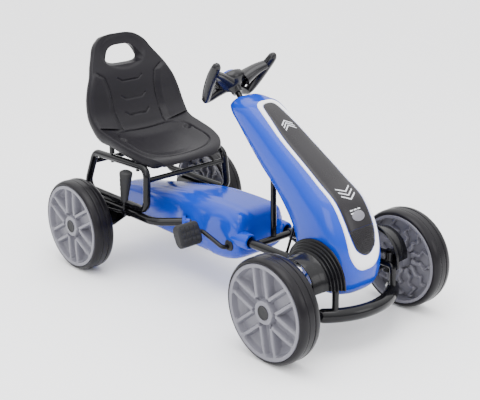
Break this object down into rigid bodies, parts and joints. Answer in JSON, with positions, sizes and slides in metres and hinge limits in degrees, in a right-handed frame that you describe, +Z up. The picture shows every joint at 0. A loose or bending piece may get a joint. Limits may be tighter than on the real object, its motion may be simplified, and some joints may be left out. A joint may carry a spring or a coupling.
{
  "type": "pedal go-kart",
  "caption": "Child's pedal go-kart with bucket seat, steered front wheels, chain drive cover, long nose fairing, front bumper and hand brake.",
  "frame": {"origin": "centre of the bounding box footprint, on the ground", "axes": "+Z up, the kart faces -Y, the driver's right hand is -X"},
  "size_m": [0.524, 1.012, 0.6089],
  "materials": {
    "blue_plastic": "high gloss",
    "white_trim": "gloss",
    "black_panel": "gloss",
    "black_plastic": "gloss",
    "seat_plastic": "satin with fine grain",
    "wheel_black": "gloss",
    "soft_black": "matte",
    "bright_steel": "satin",
    "black_paint": "gloss",
    "tyre_rubber": "semi-matte moulded tyre",
    "rim_grey": "satin"
  },
  "bodies": {
    "chassis": {"main_rail_right": "black_paint", "main_rail_left": "black_paint", "seat_loop_right": "black_paint", "seat_loop_left": "black_paint", "seat_cross_bars": "black_paint", "rear_bracket_right": "black_paint", "rear_bracket_left": "black_paint", "axle_bearings": "black_plastic", "crank_hangers": "black_paint", "crank_bushes": "bright_steel", "cross_tubes": "black_paint", "steering_post": "black_paint", "column_bushes": "black_plastic", "front_axle_beam": "black_paint", "fairing_stays": "black_paint", "front_bumper": "black_paint", "nose_fairing": "blue_plastic", "nose_trim": "white_trim", "nose_panel": "black_panel", "nose_grille": "black_panel", "axle_pod_right": "black_plastic", "axle_pod_left": "black_plastic", "bucket_seat": "seat_plastic", "seat_bolts": "black_paint", "chain_cover_right": "blue_plastic", "chain_cover_left": "blue_plastic", "cover_screws": "black_plastic", "drive_chain": "bright_steel", "brake_bracket": "black_paint"},
    "steering": {"steering_column": "black_paint", "steering_wheel": "wheel_black", "grip_right": "wheel_black", "grip_left": "wheel_black"},
    "horn": {"horn_button": "blue_plastic"},
    "knuckle_r": {"knuckle_right": "black_paint"},
    "knuckle_l": {"knuckle_left": "black_paint"},
    "tie_r": {"tie_rod_right": "black_paint"},
    "tie_l": {"tie_rod_left": "black_paint"},
    "wheel_fr": {"tyre_front_right": "tyre_rubber", "rim_front_right": "rim_grey", "cap_front_right": "black_plastic"},
    "wheel_fl": {"tyre_front_left": "tyre_rubber", "rim_front_left": "rim_grey", "cap_front_left": "black_plastic"},
    "axle": {"rear_axle": "bright_steel", "rear_sprocket": "bright_steel", "tyre_rear_left": "tyre_rubber", "rim_rear_left": "rim_grey", "cap_rear_left": "black_plastic"},
    "wheel_rr": {"tyre_rear_right": "tyre_rubber", "rim_rear_right": "rim_grey", "cap_rear_right": "black_plastic", "brake_drum": "rim_grey"},
    "crank": {"crank": "black_paint", "chainring": "bright_steel"},
    "pedal_r": {"pedal_right": "soft_black"},
    "pedal_l": {"pedal_left": "soft_black"},
    "brake": {"brake_lever": "black_paint", "brake_grip": "soft_black", "brake_pad": "soft_black"}
  },
  "joints": [
    {"name": "steer_turn", "type": "hinge", "parent": "chassis", "child": "steering", "pos_m": [0, -0.012, 0.527], "axis": [0, 0.6947, 0.7193], "range_deg": [-27, 27]},
    {"name": "horn_press", "type": "slide", "parent": "steering", "child": "horn", "axis": [0, -0.6947, -0.7193], "range_m": [0, 0.003], "stiffness_N_per_m": 400, "springref_m": -0.001},
    {"name": "knuckle_r_turn", "type": "hinge", "parent": "chassis", "child": "knuckle_r", "pos_m": [-0.165, -0.381, 0.128], "axis": [0, 0, 1], "range_deg": [-21.5, 21.5]},
    {"name": "tie_r_turn", "type": "hinge", "parent": "knuckle_r", "child": "tie_r", "pos_m": [-0.15, -0.319, 0.137], "axis": [0, 0, 1], "range_deg": [-21.5, 21.5]},
    {"name": "wheel_fr_spin", "type": "hinge", "parent": "knuckle_r", "child": "wheel_fr", "pos_m": [-0.225, -0.381, 0.125], "axis": [1, 0, 0], "continuous": true},
    {"name": "knuckle_l_turn", "type": "hinge", "parent": "chassis", "child": "knuckle_l", "pos_m": [0.165, -0.381, 0.128], "axis": [0, 0, 1], "range_deg": [-21.5, 21.5]},
    {"name": "tie_l_turn", "type": "hinge", "parent": "knuckle_l", "child": "tie_l", "pos_m": [0.15, -0.319, 0.1455], "axis": [0, 0, 1], "range_deg": [-21.5, 21.5]},
    {"name": "wheel_fl_spin", "type": "hinge", "parent": "knuckle_l", "child": "wheel_fl", "pos_m": [0.225, -0.381, 0.125], "axis": [1, 0, 0], "continuous": true},
    {"name": "axle_spin", "type": "hinge", "parent": "chassis", "child": "axle", "pos_m": [0, 0.381, 0.125], "axis": [1, 0, 0], "continuous": true},
    {"name": "wheel_rr_spin", "type": "hinge", "parent": "chassis", "child": "wheel_rr", "pos_m": [-0.23, 0.381, 0.125], "axis": [1, 0, 0], "continuous": true},
    {"name": "crank_spin", "type": "hinge", "parent": "chassis", "child": "crank", "pos_m": [0, -0.069, 0.147], "axis": [1, 0, 0], "continuous": true},
    {"name": "pedal_r_spin", "type": "hinge", "parent": "crank", "child": "pedal_r", "pos_m": [-0.16, -0.00543, 0.1808], "axis": [1, 0, 0], "continuous": true},
    {"name": "pedal_l_spin", "type": "hinge", "parent": "crank", "child": "pedal_l", "pos_m": [0.16, -0.13257, 0.1132], "axis": [1, 0, 0], "continuous": true},
    {"name": "brake_pull", "type": "hinge", "parent": "chassis", "child": "brake", "pos_m": [-0.166, 0.263, 0.172], "axis": [-1, 0, 0], "range_deg": [0, 6.5]}
  ],
  "couplings": [
    {"joint": "knuckle_r_turn", "follows": "steer_turn", "ratio": 0.77},
    {"joint": "knuckle_l_turn", "follows": "steer_turn", "ratio": 0.77},
    {"joint": "tie_r_turn", "follows": "steer_turn", "ratio": -0.77},
    {"joint": "tie_l_turn", "follows": "steer_turn", "ratio": -0.77},
    {"joint": "crank_spin", "follows": "axle_spin", "ratio": 0.5}
  ]
}
